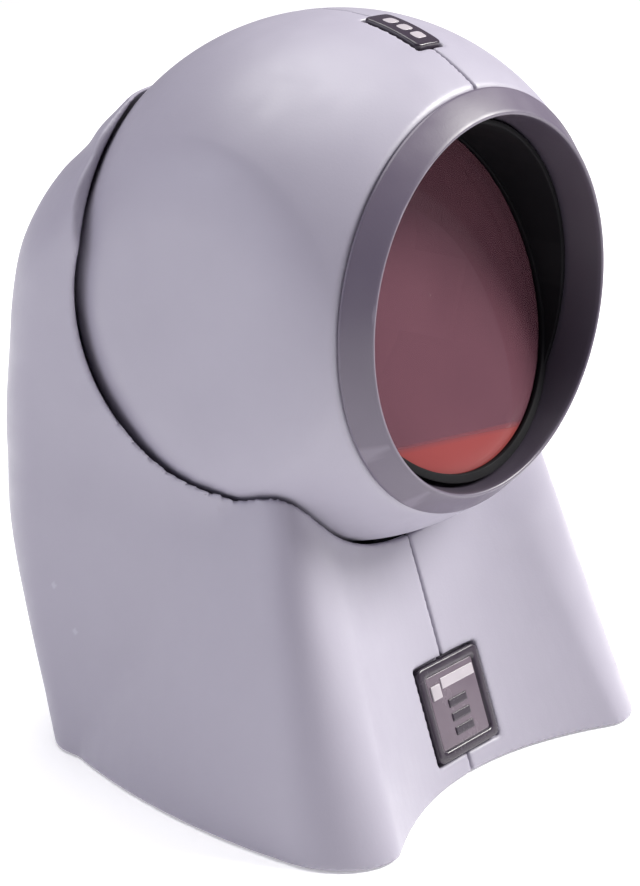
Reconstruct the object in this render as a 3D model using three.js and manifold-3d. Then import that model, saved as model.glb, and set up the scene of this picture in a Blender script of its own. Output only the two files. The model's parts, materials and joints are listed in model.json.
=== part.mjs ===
// Hands-free presentation scanner: a ball-shaped scan head that tilts in a two-piece stand.
// Millimetres, +Z up. The front looks along -Y and the origin is on the counter under the middle.
import * as THREE from "three";
import { mergeVertices } from "three/addons/utils/BufferGeometryUtils.js";
import { ParametricGeometry } from "three/addons/geometries/ParametricGeometry.js";
import Module from "manifold-3d";

const wasm = await Module();
wasm.setup();

// ---- driving dimensions ----
const BALL_Y = -6.8;
const BALL_Z = 98;
const BALL_R = 52.4;
const HEAD_WALL = 2.4;
const CHEEK_X = 44.3;
const CHEEK_ROUND = 4.5;
const BEZEL_BACK = 33.2;
const BEZEL_R = 40.6;
const LIP_R = 36.4;
const LIP_FORWARD = 38.2;
const TUBE_R = 34.5;
const TUBE_WALL = 1.1;
const WINDOW_R = 33.1;
const WINDOW_FORWARD = 21.5;
const WINDOW_TILT = 19;
const CUP_R = 53.2;
const CUP_WALL = 2.2;
const CUP_EDGE_R = 28.4;
const STAND_WALL = 2.5;
const SEAM = 0.15;
const GAP = 0.3;
const STAND_BOTTOM = 0.4;
const PLATE_LOW = 0.9;
const PLATE_TOP = 3.1;
const FRONT_FOOT_Y = -41.2;
const FRONT_LEAN = 0.352;
const FRONT_HOLLOW = 0.0078;
const SIDE_X = 53.4;
const SIDE_WIDEST_Y = -20.8;
const SIDE_BOW = 0.0033;
const SIDE_LEAN = 0.2;
const HOOD_REAR_HALF = 46;
const HOOD_EDGE_Y = 18;
const HOOD_EDGE_LEAN = 7.4;
const BADGE_TILT = 19.4;
const BADGE_Z = 14.1;
const SCREW_R = 2.1;
const SLOT_HALF = 3.2;
const TILT_UP = 20;
const TILT_DOWN = 10;
const LENS_LEAN = 17.6;
const MIRROR_ANGLES = [-90, -18, 54, 126, 198];
const BOSS_SPOTS = [[43.4, -14], [40.6, 20]];
const FOOT_SPOTS = [[41, -37], [31, 26]];
const BALLAST_PIN_X = 24;
const BALLAST_PIN_Y = -10;
const BOARD_POST_YS = [12.5, 31];
const BOARD_SPACER_ZS = [-17, 22];
const HEAD_BOSS_ANGLES = [18, -54];
const HEAD_BOSS_RING = 34;
const CABLE_HOLE_Y = 28.7;

// Hood stations: height, half width at the front of the side, rear y, corner radius.
const HOOD = [
  [0, 46, 38.2, 9.5],
  [10, 45.9, 40.9, 10],
  [20, 45.5, 44.1, 11],
  [30, 44.9, 47.5, 12.5],
  [40, 43.9, 50.2, 13.5],
  [50, 42.7, 51.9, 14.5],
  [60, 41.3, 52.2, 15.5],
  [68, 42.6, 52.0, 15.5],
  [76, 44.5, 51.1, 15.5],
  [84, 44.9, 50.4, 16.5],
  [94, 44.9, 50.3, 19],
  [104, 44.9, 49.6, 23],
  [112, 44.9, 48.2, 29.5],
  [119, 45.2, 45.4, 36.5],
  [124, 45.8, 42.4, 43.5],
  [128, 45.9, 39.6, 45.5],
  [131, 43.4, 36.6, 43.4],
  [134, 40.4, 33.6, 40.4],
];
const HOOD_LEVELS = [
  STAND_BOTTOM, 14, 28, 42, 54, 62, 70, 78, 90, 102, 110, 118, 124, 128, 131, 134,
];
const HOOD_CAVITY_LEVELS = [-2, 16, 32, 48, 60, 70, 80, 92];

// ---- materials ----
function plastic(color, roughness = 0.45) {
  return new THREE.MeshStandardMaterial({ color, roughness, metalness: 0 });
}
function metal(color, roughness = 0.35) {
  return new THREE.MeshStandardMaterial({ color, roughness, metalness: 1 });
}
const SHELL = plastic(0xd6d3da, 0.42);
const TRIM = plastic(0x8d8598, 0.5);
const BLACK = plastic(0x17151a, 0.6);
const RED_PANE = plastic(0x8c2f33, 0.08);
RED_PANE.transparent = true;
RED_PANE.opacity = 0.6;
const SMOKE = plastic(0x2d2833, 0.2);
const RUBBER = plastic(0x222225, 0.85);
const STEEL = metal(0x9a9ca0);
const ZINC = metal(0xb9bcc0, 0.4);
const MIRROR = metal(0xe6e8ec, 0.04);
const BOARD = plastic(0x1f5a3c, 0.5);
const COPPER = metal(0xb06a3a, 0.35);
const LED_RED = plastic(0xd8281f, 0.2);
const LED_GREEN = plastic(0x2fae4a, 0.2);

// ---- solids ----
function fromTriangles(geometry, tris) {
  const vertProperties = geometry.attributes.position.array;
  const triVerts = new Uint32Array(tris);
  return new wasm.Manifold(new wasm.Mesh({ numProp: 3, vertProperties, triVerts }));
}

// Turns a closed geometry into a solid that joins and cuts.
function solid(geometry) {
  const bare = geometry.index ? geometry.toNonIndexed() : geometry.clone();
  bare.deleteAttribute("normal");
  bare.deleteAttribute("uv");
  const merged = mergeVertices(bare, 1e-3);
  const index = merged.index.array;
  const tris = [];
  for (let i = 0; i < index.length; i += 3) {
    const [a, b, c] = [index[i], index[i + 1], index[i + 2]];
    if (a !== b && b !== c && c !== a) tris.push(a, b, c);
  }
  const made = fromTriangles(merged, tris);
  if (made.volume() >= 0) return made;
  const flipped = [];
  for (let i = 0; i < tris.length; i += 3) flipped.push(tris[i], tris[i + 2], tris[i + 1]);
  return fromTriangles(merged, flipped);
}

function geometryOf(shape) {
  const mesh = shape.getMesh();
  const geometry = new THREE.BufferGeometry();
  geometry.setAttribute("position", new THREE.BufferAttribute(mesh.vertProperties, 3));
  geometry.setIndex(new THREE.BufferAttribute(mesh.triVerts, 1));
  geometry.computeVertexNormals();
  return geometry;
}

function addMesh(group, name, shape, material) {
  const mesh = new THREE.Mesh(geometryOf(shape), material);
  mesh.name = name;
  group.add(mesh);
  return mesh;
}

function box(x0, x1, y0, y1, z0, z1) {
  const geometry = new THREE.BoxGeometry(x1 - x0, y1 - y0, z1 - z0);
  geometry.translate((x0 + x1) / 2, (y0 + y1) / 2, (z0 + z1) / 2);
  return solid(geometry);
}

// A round bar along Z.
function rod(radius, x, y, z0, z1, sides = 20) {
  const geometry = new THREE.CylinderGeometry(radius, radius, z1 - z0, sides);
  geometry.rotateX(Math.PI / 2);
  geometry.translate(x, y, (z0 + z1) / 2);
  return solid(geometry);
}

// A round bar along Y between two forward distances, in the head's frame.
function bar(radius, x, z, f0, f1, sides = 20) {
  const geometry = new THREE.CylinderGeometry(radius, radius, f1 - f0, sides);
  geometry.translate(x, -(f0 + f1) / 2, z);
  return solid(geometry);
}

// A turned body about the head's forward axis, from [radius, forward] points.
function turned(profile, sides = 40) {
  const points = [...profile, profile[0]].map(([r, f]) => new THREE.Vector2(r, -f));
  return solid(new THREE.LatheGeometry(points, sides));
}

function ball(radius, across = 48, down = 24) {
  return solid(new THREE.SphereGeometry(radius, across, down));
}

// The ball with its two flat cheeks and their soft edge, turned about X.
function cheekedBall(radius, cheek, round, arcSteps, sides) {
  const inner = radius - round;
  const flat = Math.sqrt(inner ** 2 - (cheek - round) ** 2);
  const tangent = Math.atan2(flat, cheek - round);
  const half = [new THREE.Vector2(0, cheek)];
  for (let i = 0; i <= 3; i++) {
    const a = (tangent * i) / 3;
    half.push(new THREE.Vector2(flat + round * Math.sin(a), cheek - round + round * Math.cos(a)));
  }
  for (let i = 1; i <= arcSteps; i++) {
    const a = tangent + ((Math.PI / 2 - tangent) * i) / arcSteps;
    half.push(new THREE.Vector2(radius * Math.sin(a), radius * Math.cos(a)));
  }
  const mirrored = half.slice(0, -1).reverse().map((p) => new THREE.Vector2(p.x, -p.y));
  const geometry = new THREE.LatheGeometry([...half, ...mirrored], sides);
  geometry.rotateZ(-Math.PI / 2);
  return solid(geometry);
}

// A slab square to the tilted window, its middle at an offset along the window's normal.
function windowSlab(offset, thickness) {
  const geometry = new THREE.BoxGeometry(110, thickness, 110);
  geometry.translate(0, -offset, 0);
  geometry.rotateX(THREE.MathUtils.degToRad(-WINDOW_TILT));
  geometry.translate(0, -WINDOW_FORWARD, 0);
  return solid(geometry);
}

// ---- stand outlines ----
function frontY(x, z) {
  return FRONT_FOOT_Y + FRONT_LEAN * z - FRONT_HOLLOW * x * x;
}
function sideX(y, z) {
  return SIDE_X - SIDE_BOW * (y - SIDE_WIDEST_Y) ** 2 - SIDE_LEAN * z;
}

// Smooth value of one hood column at a height.
function hoodAt(z, column) {
  let i = 0;
  while (i < HOOD.length - 2 && z > HOOD[i + 1][0]) i++;
  const at = (k) => HOOD[Math.min(Math.max(k, 0), HOOD.length - 1)];
  const [p0, p1, p2, p3] = [at(i - 1), at(i), at(i + 1), at(i + 2)];
  const span = p2[0] - p1[0];
  const t = Math.min(Math.max((z - p1[0]) / span, 0), 1);
  const m1 = ((p2[column] - p0[column]) / (p2[0] - p0[0])) * span;
  const m2 = ((p3[column] - p1[column]) / (p3[0] - p1[0])) * span;
  const a = (2 * t ** 3 - 3 * t ** 2 + 1) * p1[column] + (t ** 3 - 2 * t ** 2 + t) * m1;
  return a + (-2 * t ** 3 + 3 * t ** 2) * p2[column] + (t ** 3 - t ** 2) * m2;
}

// Mirrors a half outline, given from the front middle to the rear middle, into a closed loop.
function closeLoop(half) {
  const other = half.slice(1, -1).reverse().map((p) => new THREE.Vector2(-p.x, p.y));
  return [...half, ...other];
}

// The front skirt: a hollow front, two round toes and leaning sides.
function skirtOutline(z) {
  const rise = z / 60;
  const x0 = 36.5 - 11.5 * rise;
  const y3 = -37.8 + 17.5 * rise;
  const half = [];
  for (let i = 0; i < 6; i++) {
    const x = (x0 * i) / 6;
    half.push(new THREE.Vector2(x, frontY(x, z)));
  }
  const start = new THREE.Vector2(x0, frontY(x0, z));
  const end = new THREE.Vector2(sideX(y3, z), y3);
  const leave = new THREE.Vector2(1, -2 * FRONT_HOLLOW * x0).setLength(6 + 2.2 * rise);
  const arrive = new THREE.Vector2(2 * SIDE_BOW * (y3 - SIDE_WIDEST_Y), -1);
  arrive.setLength(10.5 + 1.5 * rise);
  const toe = new THREE.CubicBezierCurve(start, leave.add(start), arrive.add(end), end);
  half.push(...toe.getPoints(7));
  for (let i = 1; i <= 4; i++) {
    const y = y3 + ((23.5 - y3) * i) / 4;
    half.push(new THREE.Vector2(sideX(y, z), y));
  }
  half.push(new THREE.Vector2(sideX(26.5, z) - 0.6, 26.5));
  half.push(new THREE.Vector2(28, 28), new THREE.Vector2(0, 28));
  return closeLoop(half);
}

// The rear hood: a rounded block whose front tapers into the skirt.
function hoodOutline(z) {
  const front = hoodAt(z, 1);
  const rear = hoodAt(z, 2);
  const w = Math.max(front, Math.min(HOOD_REAR_HALF, hoodAt(Math.max(z, 128), 1)));
  const r = Math.min(hoodAt(z, 3), w - 0.1);
  const straight = rear - r;
  const half = [
    new THREE.Vector2(0, -23),
    new THREE.Vector2(front - 4.2, -23),
    new THREE.Vector2(front, -11),
  ];
  for (let i = 0; i <= 7; i++) {
    const a = (Math.PI / 2) * (i / 7);
    half.push(new THREE.Vector2(w - r + r * Math.cos(a), straight + r * Math.sin(a)));
  }
  half.push(new THREE.Vector2(0, rear));
  return closeLoop(half);
}

// Moves a loop inwards by a distance along its own normals.
function insetLoop(loop, distance) {
  const n = loop.length;
  return loop.map((p, i) => {
    const d = loop[(i + 1) % n].clone().sub(loop[(i - 1 + n) % n]).normalize();
    return new THREE.Vector2(p.x - d.y * distance, p.y + d.x * distance);
  });
}

// A solid through one outline per level, closed at both ends.
function loft(outline, levels, inset) {
  const loops = levels.map((z) => insetLoop(outline(z), inset));
  const count = loops[0].length;
  const rows = levels.length + 2;
  const place = (u, v, target) => {
    const row = Math.round(v * (rows - 1));
    const k = Math.round(u * count) % count;
    const level = Math.min(Math.max(row - 1, 0), levels.length - 1);
    const p = row === 0 || row === rows - 1 ? new THREE.Vector2(0, 0) : loops[level][k];
    target.set(p.x, p.y, levels[level]);
  };
  return solid(new ParametricGeometry(place, count, rows - 1));
}

function standBlock(inset, bottom, skirtTop, hoodLevels) {
  const skirt = loft(skirtOutline, [bottom, 22, 44, skirtTop], inset);
  return skirt.add(loft(hoodOutline, hoodLevels, inset));
}

function ballAtCup(radius, across = 40, down = 20) {
  const geometry = new THREE.SphereGeometry(radius, across, down);
  geometry.rotateX(Math.PI / 2);
  geometry.translate(0, BALL_Y, BALL_Z);
  return solid(geometry);
}

// The part of space in front of the hood's upright edge.
function openFront() {
  const geometry = new THREE.BoxGeometry(140, 120, 70);
  geometry.translate(0, -60, 35);
  geometry.rotateX(THREE.MathUtils.degToRad(-HOOD_EDGE_LEAN));
  geometry.translate(0, HOOD_EDGE_Y, 95);
  return solid(geometry);
}

// A round bar along the tilt axis that blunts the cup's side edges.
function cupEdge() {
  const geometry = new THREE.CylinderGeometry(CUP_EDGE_R, CUP_EDGE_R, 120, 40);
  geometry.rotateZ(Math.PI / 2);
  geometry.translate(0, BALL_Y, BALL_Z);
  return solid(geometry);
}

// ---- stand ----
function badgeBox(width, height, depth, forward) {
  const geometry = new THREE.BoxGeometry(width, depth, height);
  geometry.translate(0, -forward, 0);
  geometry.rotateX(THREE.MathUtils.degToRad(-BADGE_TILT));
  geometry.translate(0, frontY(0, BADGE_Z), BADGE_Z);
  return solid(geometry);
}

function standBosses(shell) {
  const core = standBlock(0.8, -2, 66, HOOD_CAVITY_LEVELS);
  let made = shell;
  for (const [x, y] of BOSS_SPOTS) {
    for (const side of [-1, 1]) {
      made = made.add(rod(3.4, side * x, y, PLATE_TOP + GAP, 36).intersect(core));
      made = made.subtract(rod(1.2, side * x, y, 0, 14, 12));
    }
  }
  return made;
}

function standShells() {
  const hood = loft(hoodOutline, HOOD_LEVELS, 0).subtract(openFront());
  const outer = loft(skirtOutline, [STAND_BOTTOM, 17, 34, 51, 68], 0).add(hood);
  const cavity = standBlock(STAND_WALL, -2, 66, HOOD_CAVITY_LEVELS);
  const shell = outer.subtract(cavity.subtract(ballAtCup(CUP_R + CUP_WALL, 32, 16)));
  return standBosses(shell)
    .subtract(ballAtCup(CUP_R))
    .subtract(cupEdge())
    .subtract(box(-9, 9, BALL_Y - 16, BALL_Y + 16, 30, 60))
    .subtract(box(-5, 5, BALL_Y + 15, BALL_Y + 43, 40, 75))
    .subtract(badgeBox(20.3, 20.3, 6.2, 1.8))
    .subtract(box(-8.2, 8.2, 27, 55, 6.8, 20.4));
}

function foot(x, y) {
  return rod(5, x, y, 0, 1.5, 14);
}

function basePlate() {
  const levels = [PLATE_LOW, PLATE_TOP];
  const inset = STAND_WALL + GAP + 0.1;
  let made = loft(skirtOutline, levels, inset).add(loft(hoodOutline, levels, inset));
  for (const side of [-1, 1]) {
    for (const [x, y] of BOSS_SPOTS) {
      made = made.subtract(rod(3.1, side * x, y, 0, 2, 12));
      made = made.subtract(rod(1.7, side * x, y, 0, 5, 12));
    }
    for (const [x, y] of FOOT_SPOTS) {
      made = made.subtract(rod(5.3, side * x, y, 0, 1.8, 14));
    }
    made = made.add(rod(2, side * BALLAST_PIN_X, BALLAST_PIN_Y, PLATE_TOP - 1, 12, 12));
    for (const y of BOARD_POST_YS) {
      made = made.add(rod(1.6, side * 11, y, PLATE_TOP - 1, 4.9, 8));
    }
  }
  return made;
}

// A turned body about a vertical axis, from [radius, height] points.
function upright(profile, x, y, sides) {
  const points = profile.map(([r, z]) => new THREE.Vector2(r, z));
  const geometry = new THREE.LatheGeometry(points, sides);
  geometry.rotateX(Math.PI / 2);
  geometry.translate(x, y, 0);
  return solid(geometry);
}

function baseScrew(x, y) {
  const profile = [[0, 1.0], [2.7, 1.0], [2.7, 1.7], [1.0, 1.7], [1.0, 12], [0, 12.6]];
  return upright(profile, x, y, 10)
    .subtract(box(x - 1.7, x + 1.7, y - 0.35, y + 0.35, 0.5, 1.35))
    .subtract(box(x - 0.35, x + 0.35, y - 1.7, y + 1.7, 0.5, 1.35));
}

function ballast() {
  const block = box(-32, 32, -31, 6, PLATE_TOP + GAP, 11.4);
  return block
    .subtract(box(-9.5, 9.5, BALL_Y - 17, 10, 0, 20))
    .subtract(rod(2.4, BALLAST_PIN_X, BALLAST_PIN_Y, 0, 20, 12))
    .subtract(rod(2.4, -BALLAST_PIN_X, BALLAST_PIN_Y, 0, 20, 12));
}

function pedestal() {
  return box(-8, 8, BALL_Y - 15, BALL_Y + 15, PLATE_TOP + GAP, 60)
    .subtract(ballAtCup(54.2, 24, 16))
    .subtract(rod(5.3, 0, BALL_Y, 0, 40))
    .subtract(rod(2.6, 0, BALL_Y, 30, 60, 16))
    .subtract(box(-5, 5, BALL_Y - 20, BALL_Y - 8, 14, 36))
    .subtract(box(-5, 5, BALL_Y + 8, BALL_Y + 20, 14, 36));
}

function frictionPad() {
  return ballAtCup(53.8, 24, 16)
    .subtract(ballAtCup(BALL_R + GAP + 0.2, 24, 16))
    .intersect(box(-7.5, 7.5, BALL_Y - 14.5, BALL_Y + 14.5, 40, 60))
    .subtract(rod(3, 0, BALL_Y, 30, 60, 16));
}

function clampShoe() {
  return ballAtCup(49.4, 24, 16)
    .subtract(ballAtCup(47, 24, 16))
    .intersect(box(-7, 7, BALL_Y - 7, BALL_Y + 7, 40, 60))
    .subtract(rod(2.4, 0, BALL_Y, 30, 60, 16));
}

function clampScrew() {
  const top = BALL_Z - 44.4;
  const under = BALL_Z - 46.6;
  const shank = [[0, 17.4], [1.6, 17.4], [SCREW_R, 18], [SCREW_R, under]];
  const cap = [[3.8, under], [3.8, top - 0.5], [3.3, top], [0, top]];
  return upright([...shank, ...cap], 0, BALL_Y, 16)
    .subtract(box(-2.6, 2.6, BALL_Y - 0.5, BALL_Y + 0.5, top - 1, top + 1));
}

function clampNut() {
  return rod(4.5, 0, BALL_Y, 18.6, 22.2, 6).subtract(rod(SCREW_R + GAP, 0, BALL_Y, 10, 30, 16));
}

// A round-wire helix around a vertical axis.
class Helix extends THREE.Curve {
  constructor(radius, low, high, turns) {
    super();
    Object.assign(this, { radius, low, high, turns });
  }
  getPoint(t, target = new THREE.Vector3()) {
    const a = t * this.turns * Math.PI * 2;
    const x = this.radius * Math.cos(a);
    const y = BALL_Y + this.radius * Math.sin(a);
    return target.set(x, y, this.low + (this.high - this.low) * t);
  }
}

function circleShape(radius, sides) {
  const shape = new THREE.Shape();
  for (let i = 0; i < sides; i++) {
    const a = (i / sides) * Math.PI * 2;
    const [x, y] = [radius * Math.cos(a), radius * Math.sin(a)];
    if (i === 0) shape.moveTo(x, y);
    else shape.lineTo(x, y);
  }
  return shape;
}

// A round wire swept along a path.
function along(path, radius, sides, steps) {
  const options = { extrudePath: path, steps, bevelEnabled: false };
  return solid(new THREE.ExtrudeGeometry(circleShape(radius, sides), options));
}

function cableJack() {
  const body = box(-7.5, 7.5, 21.4, 38.9, 7.1, 20.1);
  const mouth = box(-6, 6, 27, 45, 10.4, 17.6);
  const latch = box(-3, 3, 29, 45, 8.6, 11);
  return body.subtract(mouth).subtract(latch);
}

function jackBoard() {
  const board = box(-14, 14, 9.4, 35, 5.2, 6.8);
  return board.add(box(-4, 4, 12.6, 17.4, 6.5, 11));
}

function harness() {
  const points = [
    [13.7, 77.4], [14, 72], [18.5, 62], [22, 55.5], [22.6, 49], [20, 40], [16.6, 30], [15, 21], [15, 11.4],
  ];
  const path = new THREE.CatmullRomCurve3(points.map(([y, z]) => new THREE.Vector3(0, y, z)));
  return along(path, 1.3, 8, 26);
}

function frontBadge() {
  return badgeBox(19.7, 19.7, 2.2, 0.1).subtract(badgeBox(16.3, 16.3, 1.2, 1.3));
}

// ---- head ----
function lensBox(width, length, low, high) {
  const geometry = new THREE.BoxGeometry(width, length, high - low);
  geometry.translate(0, 0, (low + high) / 2);
  geometry.rotateX(THREE.MathUtils.degToRad(LENS_LEAN));
  return solid(geometry);
}

function indicatorLens() {
  return lensBox(7.2, 13.8, 48.8, 56).intersect(ball(BALL_R + 0.6));
}

// A prism along X from a section given as [y, z] points.
function crossPrism(section, halfWidth) {
  const shape = new THREE.Shape(section.map(([y, z]) => new THREE.Vector2(y, z)));
  const geometry = new THREE.ExtrudeGeometry(shape, { depth: halfWidth * 2, bevelEnabled: false });
  geometry.translate(0, 0, -halfWidth);
  geometry.rotateY(Math.PI / 2);
  geometry.rotateX(Math.PI / 2);
  return solid(geometry);
}

// A cut through the ball's underside that follows the tilt, in degrees from straight down.
function tiltSlot(halfWidth, from, to) {
  const steps = 8;
  const outer = [];
  const inner = [];
  for (let i = 0; i <= steps; i++) {
    const a = THREE.MathUtils.degToRad(from + ((to - from) * i) / steps);
    outer.push([56 * Math.sin(a), -56 * Math.cos(a)]);
    inner.unshift([44 * Math.sin(a), -44 * Math.cos(a)]);
  }
  return crossPrism([...outer, ...inner], halfWidth);
}

function headBossSpots() {
  return HEAD_BOSS_ANGLES.map((a) => {
    const t = THREE.MathUtils.degToRad(a);
    return [HEAD_BOSS_RING * Math.cos(t), HEAD_BOSS_RING * Math.sin(t)];
  });
}

function headBosses(shell) {
  const core = cheekedBall(BALL_R - 1, CHEEK_X - 1, CHEEK_ROUND, 8, 40);
  let made = shell;
  for (const [x, z] of headBossSpots()) {
    for (const side of [-1, 1]) {
      made = made.add(bar(3.2, side * x, z, -44, -14.3, 16).intersect(core));
      made = made.subtract(bar(1.1, side * x, z, -28, -10, 10));
    }
  }
  return made;
}

function headShells() {
  const outer = cheekedBall(BALL_R, CHEEK_X, CHEEK_ROUND, 8, 40);
  const inner = cheekedBall(BALL_R - HEAD_WALL, CHEEK_X - HEAD_WALL, CHEEK_ROUND - 2, 6, 28);
  return headBosses(outer.subtract(inner))
    .subtract(box(-60, 60, -90, -(BEZEL_BACK - GAP), -60, 60))
    .subtract(lensBox(7.8, 14.4, 46, 56))
    .subtract(tiltSlot(SLOT_HALF, -TILT_DOWN - 3.2, TILT_UP + 3.2))
    .subtract(box(-3.2, 3.2, CABLE_HOLE_Y - 4.2, CABLE_HOLE_Y + 4.2, -60, -30));
}

function bezelRing() {
  return turned([
    [BEZEL_R, BEZEL_BACK],
    [BEZEL_R, BEZEL_BACK + 0.5],
    [LIP_R + 0.5, LIP_FORWARD - 0.3],
    [LIP_R, LIP_FORWARD],
    [LIP_R - 0.5, LIP_FORWARD - 0.2],
    [34.9, 30.6],
    [34.8, 26],
    [36, 26],
    [36.4, BEZEL_BACK],
  ]);
}

// A ring about the forward axis with a rectangular section.
function ring(outerR, innerR, f0, f1) {
  return turned([[outerR, f0], [outerR, f1], [innerR, f1], [innerR, f0]]);
}

function innerHood() {
  const inside = TUBE_R - TUBE_WALL;
  const straight = ring(TUBE_R, inside, -2, 30.2).subtract(windowSlab(-23, 40));
  const leaning = ring(TUBE_R, inside, 0, 38).intersect(windowSlab(-0.45, 5.1));
  const ledge = ring(TUBE_R, inside - 0.6, 0, 38).intersect(windowSlab(1.7, 0.8));
  return straight.add(leaning).add(ledge);
}

function windowPane() {
  return bar(WINDOW_R, 0, 0, 0, 45, 40).intersect(windowSlab(0, 2));
}

function windowGasket() {
  return ring(WINDOW_R, 30.2, 0, 45).intersect(windowSlab(-1.9, 1.2));
}

// A prism with its section in the radius-forward plane, turned about the forward axis.
function radialPrism(section, halfWidth, angle) {
  const shape = new THREE.Shape(section.map(([r, f]) => new THREE.Vector2(r, -f)));
  const geometry = new THREE.ExtrudeGeometry(shape, { depth: halfWidth * 2, bevelEnabled: false });
  geometry.translate(0, 0, -halfWidth);
  geometry.rotateY(-THREE.MathUtils.degToRad(angle));
  return solid(geometry);
}

function patternMirror(angle) {
  return radialPrism([[21, -9], [33.5, 4.5], [34.56, 3.44], [22.06, -10.06]], 8.5, angle);
}

function opticalChassis() {
  const arm = [[22.3, -10.3], [34.8, 3.2], [37, 3.2], [37, -13], [20, -13], [20, -10.8]];
  let body = bar(40, 0, 0, -14, -12, 32);
  for (const angle of MIRROR_ANGLES) {
    body = body.add(radialPrism(arm, 8.5, angle));
  }
  for (const side of [-1, 1]) {
    for (const [x, z] of headBossSpots()) {
      body = body.subtract(bar(1.7, side * x, z, -20, -8, 12));
    }
    for (const z of BOARD_SPACER_ZS) {
      body = body.add(bar(2, side * 20, z, -16.4, -13, 10));
    }
  }
  return body.subtract(bar(3.4, 0, 0, -20, -8, 16)).subtract(box(-30, 30, -4.9, 20, 36.5, 44));
}

function heatSink() {
  const block = box(-6.2, 6.2, -0.5, 11.7, 24.5, 33);
  const wedge = radialPrism([[24.8, -0.4], [24.8, 2.2], [30.4, 5.9], [33, 5.9], [33, -0.4]], 6.2, 90);
  const bore = new THREE.CylinderGeometry(3.8, 3.8, 30, 16);
  bore.rotateX(Math.PI / 2);
  bore.translate(0, 5, 28);
  return block.add(wedge).subtract(solid(bore));
}

function laserModule() {
  return rod(3.5, 0, 5, 18, 34, 16).subtract(rod(1.6, 0, 5, 15, 21, 10));
}

function collectorMirror() {
  return radialPrism([[20, 1.2], [29.8, 7.7], [30.6, 6.5], [20.8, 0]], 9, 90);
}

function mainBoard() {
  return box(-24, 24, 16.7, 18.3, -21, 26)
    .add(box(-5, 5, 18, 23, -20.2, -15))
    .add(box(-16, -4, 18, 20.2, 2, 14))
    .add(box(6, 18, 18, 20.4, 8, 18));
}

function beeper() {
  return bar(6, 11, -7, -25, -18.6, 20).subtract(bar(1.2, 11, -7, -30, -23, 10));
}

function ledBoard() {
  return lensBox(12, 18, 44.6, 45.8);
}

function statusLed(offset) {
  const geometry = new THREE.CylinderGeometry(1.6, 1.6, 2.0, 12);
  geometry.rotateX(Math.PI / 2);
  geometry.translate(0, offset, 47.2);
  geometry.rotateX(THREE.MathUtils.degToRad(LENS_LEAN));
  return solid(geometry);
}

function headScrew(x, z) {
  return bar(2.6, x, z, -11.7, -10.3, 12)
    .add(bar(0.8, x, z, -26, -11, 8))
    .subtract(box(x - 0.35, x + 0.35, 5, 10.8, z - 1.7, z + 1.7));
}

// ---- polygon motor ----
function motorBase() {
  return bar(10, 0, 0, -11.7, -10.2, 24)
    .add(bar(3.0, 0, 0, -15.5, -5.0, 20))
    .subtract(bar(1.5, 0, 0, -20, 0, 20));
}

function motorCoil() {
  return turned([[3.4, -9.9], [7.4, -9.9], [7.4, -6.6], [3.4, -6.6]], 24);
}

function polygonWheel() {
  const body = bar(14, 0, 0, -9.3, 1.0, 5);
  return body.subtract(bar(9.3, 0, 0, -12, -4.8, 24)).subtract(bar(1.8, 0, 0, -12, 5, 16));
}

function magnetRing() {
  return turned([[8.0, -9.1], [9.0, -9.1], [9.0, -5.1], [8.0, -5.1]], 24);
}

function rotorShaft() {
  return bar(1.45, 0, 0, -15.2, 1.8, 20).add(bar(4.0, 0, 0, 1.3, 2.4, 20));
}

// ---- assembly ----
const scanner = new THREE.Group();
const stand = new THREE.Group();
const head = new THREE.Group();
head.position.set(0, BALL_Y, BALL_Z);
scanner.add(stand, head);

const leftHalf = box(-80, -SEAM, -120, 120, -80, 200);
const rightHalf = box(SEAM, 80, -120, 120, -80, 200);
const SIDES = [["left", -1, leftHalf], ["right", 1, rightHalf]];

const standWhole = standShells();
const headWhole = headShells();
for (const [name, side, half] of SIDES) {
  addMesh(stand, `stand_${name}_shell`, standWhole.intersect(half), SHELL);
  addMesh(head, `head_${name}_shell`, headWhole.intersect(half), SHELL);
  ["front", "rear"].forEach((place, i) => {
    const [footX, footY] = FOOT_SPOTS[i];
    const [screwX, screwY] = BOSS_SPOTS[i];
    addMesh(stand, `foot_${place}_${name}`, foot(side * footX, footY), RUBBER);
    addMesh(stand, `base_screw_${place}_${name}`, baseScrew(side * screwX, screwY), ZINC);
  });
  ["upper", "lower"].forEach((place, i) => {
    const [x, z] = headBossSpots()[i];
    addMesh(head, `head_screw_${place}_${name}`, headScrew(side * x, z), ZINC);
  });
}

addMesh(stand, "base_plate", basePlate(), BLACK);
addMesh(stand, "ballast_weight", ballast(), STEEL);
addMesh(stand, "pedestal", pedestal(), BLACK);
addMesh(stand, "friction_pad", frictionPad(), RUBBER);
addMesh(stand, "clamp_shoe", clampShoe(), BLACK);
addMesh(stand, "clamp_screw", clampScrew(), ZINC);
addMesh(stand, "clamp_nut", clampNut(), ZINC);
addMesh(stand, "clamp_spring", along(new Helix(3.9, 23.1, 38.9, 4), 0.6, 5, 44), STEEL);
addMesh(stand, "cable_jack", cableJack(), BLACK);
addMesh(stand, "jack_board", jackBoard(), BOARD);
addMesh(stand, "inner_harness", harness(), BLACK);
addMesh(stand, "front_badge", frontBadge(), SMOKE);

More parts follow.
